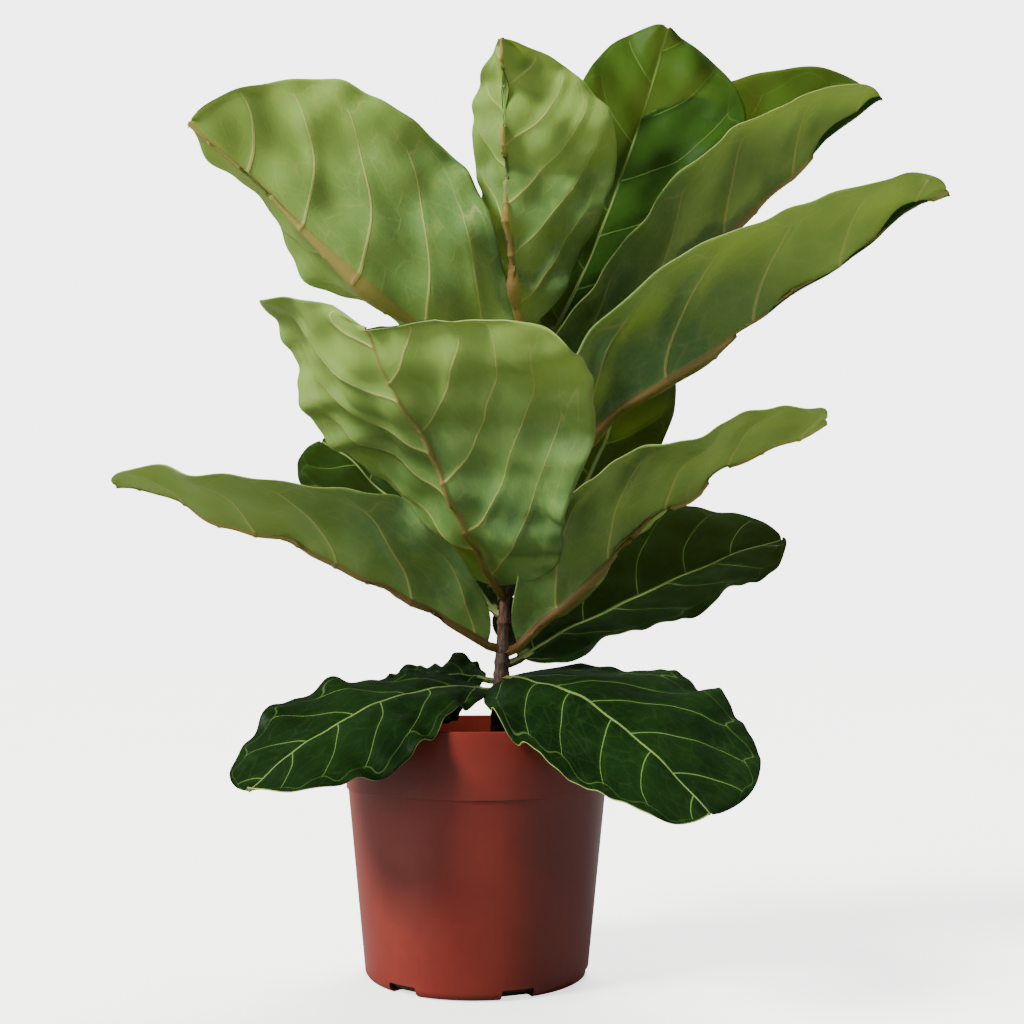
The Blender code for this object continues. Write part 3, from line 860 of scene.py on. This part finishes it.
MIDDLE_PUFF = 0.0056
MIDDLE_LEAVES = (
    Leaf(
        "leaf_long_left", 0.258, (-0.280, -0.060, 0.384), bow=(0.0, -0.01, 0.012),
        width=(0.088, 0.062), left=(0.30, -0.45, 0.80), right=(-0.30, 0.85, -0.10),
        curl=(0, 20), twist=38, heel=-0.3, blunt=2.4, broadest=0.38, waves=2.5,
        petiole=0.012,
    ),
    Leaf(
        "leaf_long_right", 0.255, (0.272, -0.055, 0.440), bow=(0.0, -0.01, 0.014),
        width=(0.060, 0.080), left=(0.30, 0.90, -0.05), right=(-0.45, -0.33, 0.80),
        twist=-45, heel=-0.2, blunt=2.4, broadest=0.38, waves=3.5, petiole=0.014,
    ),
    Leaf(
        "leaf_broad_front", 0.300, (-0.078, -0.140, 0.489), bow=(0.0, -0.01, 0.0),
        width=(0.165, 0.118), left=(0.85, -0.45, 0.0), right=(-0.85, 0.72, 0.05),
        curl=(-15, 10), lean=(-0.10, 0.62), blunt=24.0, broadest=0.9, waves=2.0,
    ),
    Leaf(
        "leaf_back_left", 0.285, (-0.147, 0.120, 0.445), bow=(0.0, 0.01, 0.010),
        width=(0.078, 0.072), left=(-0.55, -0.50, -0.50), right=(0.55, 0.50, 0.50),
        waist=0.6, petiole=0.012, heel=-0.3,
    ),
    Leaf(
        "leaf_back_centre", 0.295, (0.145, 0.130, 0.575), bow=(0.018, 0.01, -0.010),
        width=(0.065, 0.062), left=(-0.85, 0.30, 0.20), right=(0.90, -0.25, -0.30),
        petiole=0.012,
    ),
    Leaf(
        "leaf_wide_right", 0.390, (0.374, -0.060, 0.620), bow=(0.0, -0.01, 0.0),
        width=(0.075, 0.106), left=(-0.10, 0.75, 0.60), right=(-0.35, -0.50, 0.75),
        sway=(0.0, 0.0, 0.006), twist=-12, lean=(0.5, 0.4), blunt=1.8, broadest=0.5,
        waves=2.0,
    ),
)
for number, leaf in enumerate(MIDDLE_LEAVES):
    grow(leaf, 5.0 + number, MIDDLE_PUFF)


# Upper leaves
# The youngest leaves, which stand steeply round the bud. One is folded over along its far
# half, and the others cup the growing tip.

UPPER_PUFF = 0.0060
UPPER_LEAVES = (
    Leaf(
        "leaf_folded", 0.430, (0.362, 0.060, 0.742), bow=(0.0, 0.01, 0.020),
        width=(0.155, 0.094), left=(-0.30, 0.62, 0.74), right=(-0.20, -0.65, 0.70),
        curl=(150, 10), lean=(0.5, 0.5), blunt=2.3, broadest=0.55, waves=2.0,
    ),
    Leaf(
        "leaf_upper_left", 0.460, (-0.229, -0.060, 0.676), bow=(0.0, -0.01, -0.010),
        width=(0.134, 0.065), left=(0.60, -0.10, 0.78), right=(-0.10, 1.00, -0.10),
        curl=(25, 0), lean=(0.1, 0.5), heel=0.0, blunt=5.0, broadest=0.5, waist=0.5,
        waves=2.5,
    ),
    Leaf(
        "leaf_top_back", 0.485, (0.165, 0.035, 0.798), bow=(0.005, 0.014, -0.010),
        width=(0.070, 0.108), left=(-0.90, 0.10, 0.20), right=(0.90, 0.05, -0.20),
        curl=(35, 30), lean=(0.1, 0.0), blunt=6.0, broadest=0.8, waist=0.3, waves=2.0,
        petiole=0.050,
    ),
    Leaf(
        "leaf_top_front", 0.505, (0.020, -0.080, 0.737), bow=(-0.006, -0.01, 0.0),
        width=(0.098, 0.042), left=(0.95, 0.25, 0.0), right=(-0.60, 0.80, 0.0),
        curl=(-10, 0), lean=(0.05, 0.0), blunt=5.0, broadest=0.6, waves=2.5,
        petiole=0.030,
    ),
)
for number, leaf in enumerate(UPPER_LEAVES):
    grow(leaf, 11.0 + number, UPPER_PUFF)


# Floor, light and camera
# A pale studio floor in an even pale surround, under three soft lights: a warm one from high
# on the left, one from above and behind that shines through the leaves, and a low one from
# the left, the only one whose gloss shows.

FLOOR_HALF_SIZE = 12
CAMERA_PLACE = (0.028, -1.079, 0.266)
CAMERA_TILT = 5.44

floor_mesh = bpy.data.meshes.new("studio_floor")
bm = bmesh.new()
bmesh.ops.create_grid(bm, x_segments=1, y_segments=1, size=FLOOR_HALF_SIZE)
bm.to_mesh(floor_mesh)
bm.free()
studio_floor = bpy.data.objects.new("studio_floor", floor_mesh)
bpy.context.scene.collection.objects.link(studio_floor)


def pale_floor(start):
    """Near-white where it is looked at, and dim in the light that it sends up to the leaves."""
    seen = start.node("LightPath", out="Is Camera Ray")
    place = start.node("TexCoord", out="Object")
    cloud = start.node("TexNoise", sockets={"Vector": place, "Scale": 2.0}).within(0.3, 0.7)
    pale = cloud.blend((0.84, 0.84, 0.84), (0.86, 0.86, 0.86))
    return {
        "Base Color": seen.blend((0.16, 0.16, 0.16), pale),
        "Emission Color": seen.blend((0.0, 0.0, 0.0), (1.0, 1.0, 1.0)),
    }


floor_mesh.materials.append(finish_with("studio_floor", 0.9, pale_floor, Emission_Strength=1.6))

world = bpy.data.worlds.new("pale_surround")
world.use_nodes = True
tree = world.node_tree
surround = tree.nodes["Background"]
surround.inputs["Color"].default_value = (0.95, 0.98, 1.0, 1)
surround.inputs["Strength"].default_value = 0.45
backdrop = tree.nodes.new("ShaderNodeBackground")
backdrop.inputs["Color"].default_value = (1.0, 1.0, 1.0, 1)
backdrop.inputs["Strength"].default_value = 4.6
seen = tree.nodes.new("ShaderNodeLightPath")
either = tree.nodes.new("ShaderNodeMixShader")
gleam = tree.nodes.new("ShaderNodeBackground")
gleam.inputs["Strength"].default_value = 0.15
softer = tree.nodes.new("ShaderNodeMixShader")
tree.links.new(seen.outputs["Is Glossy Ray"], softer.inputs[0])
tree.links.new(surround.outputs[0], softer.inputs[1])
tree.links.new(gleam.outputs[0], softer.inputs[2])
tree.links.new(seen.outputs["Is Camera Ray"], either.inputs[0])
tree.links.new(softer.outputs[0], either.inputs[1])
tree.links.new(backdrop.outputs[0], either.inputs[2])
tree.links.new(either.outputs[0], tree.nodes["World Output"].inputs["Surface"])
bpy.context.scene.world = world


def skylight(name, angle_down, angle_round, softness, power, colour, gleams=True):
    """A soft light from far off, by the degrees that it comes down at and comes round from.

    Where gleams is false it brightens what it falls on, and leaves no shine.
    """
    lamp = bpy.data.lights.new(name, "SUN")
    lamp.angle, lamp.energy, lamp.color = math.radians(softness), power, colour
    made = bpy.data.objects.new(name, lamp)
    made.rotation_euler = (math.radians(90 - angle_down), 0, math.radians(angle_round))
    made.visible_glossy = gleams
    bpy.context.scene.collection.objects.link(made)


skylight("key_light", 40, -60, 20, 9.0, (1.0, 0.98, 0.92), gleams=False)
skylight("window_light", 12, -58, 26, 1.8, (1.0, 1.0, 1.0))
skylight("top_light", 62, 165, 24, 6.0, (1.0, 1.0, 0.95), gleams=False)

camera_data = bpy.data.cameras.new("studio_camera")
camera_data.sensor_width = 36.0
camera_data.lens = 46.25
studio_camera = bpy.data.objects.new("studio_camera", camera_data)
studio_camera.location = CAMERA_PLACE
studio_camera.rotation_euler = (math.radians(90 + CAMERA_TILT), 0, 0)
bpy.context.scene.collection.objects.link(studio_camera)
bpy.context.scene.camera = studio_camera
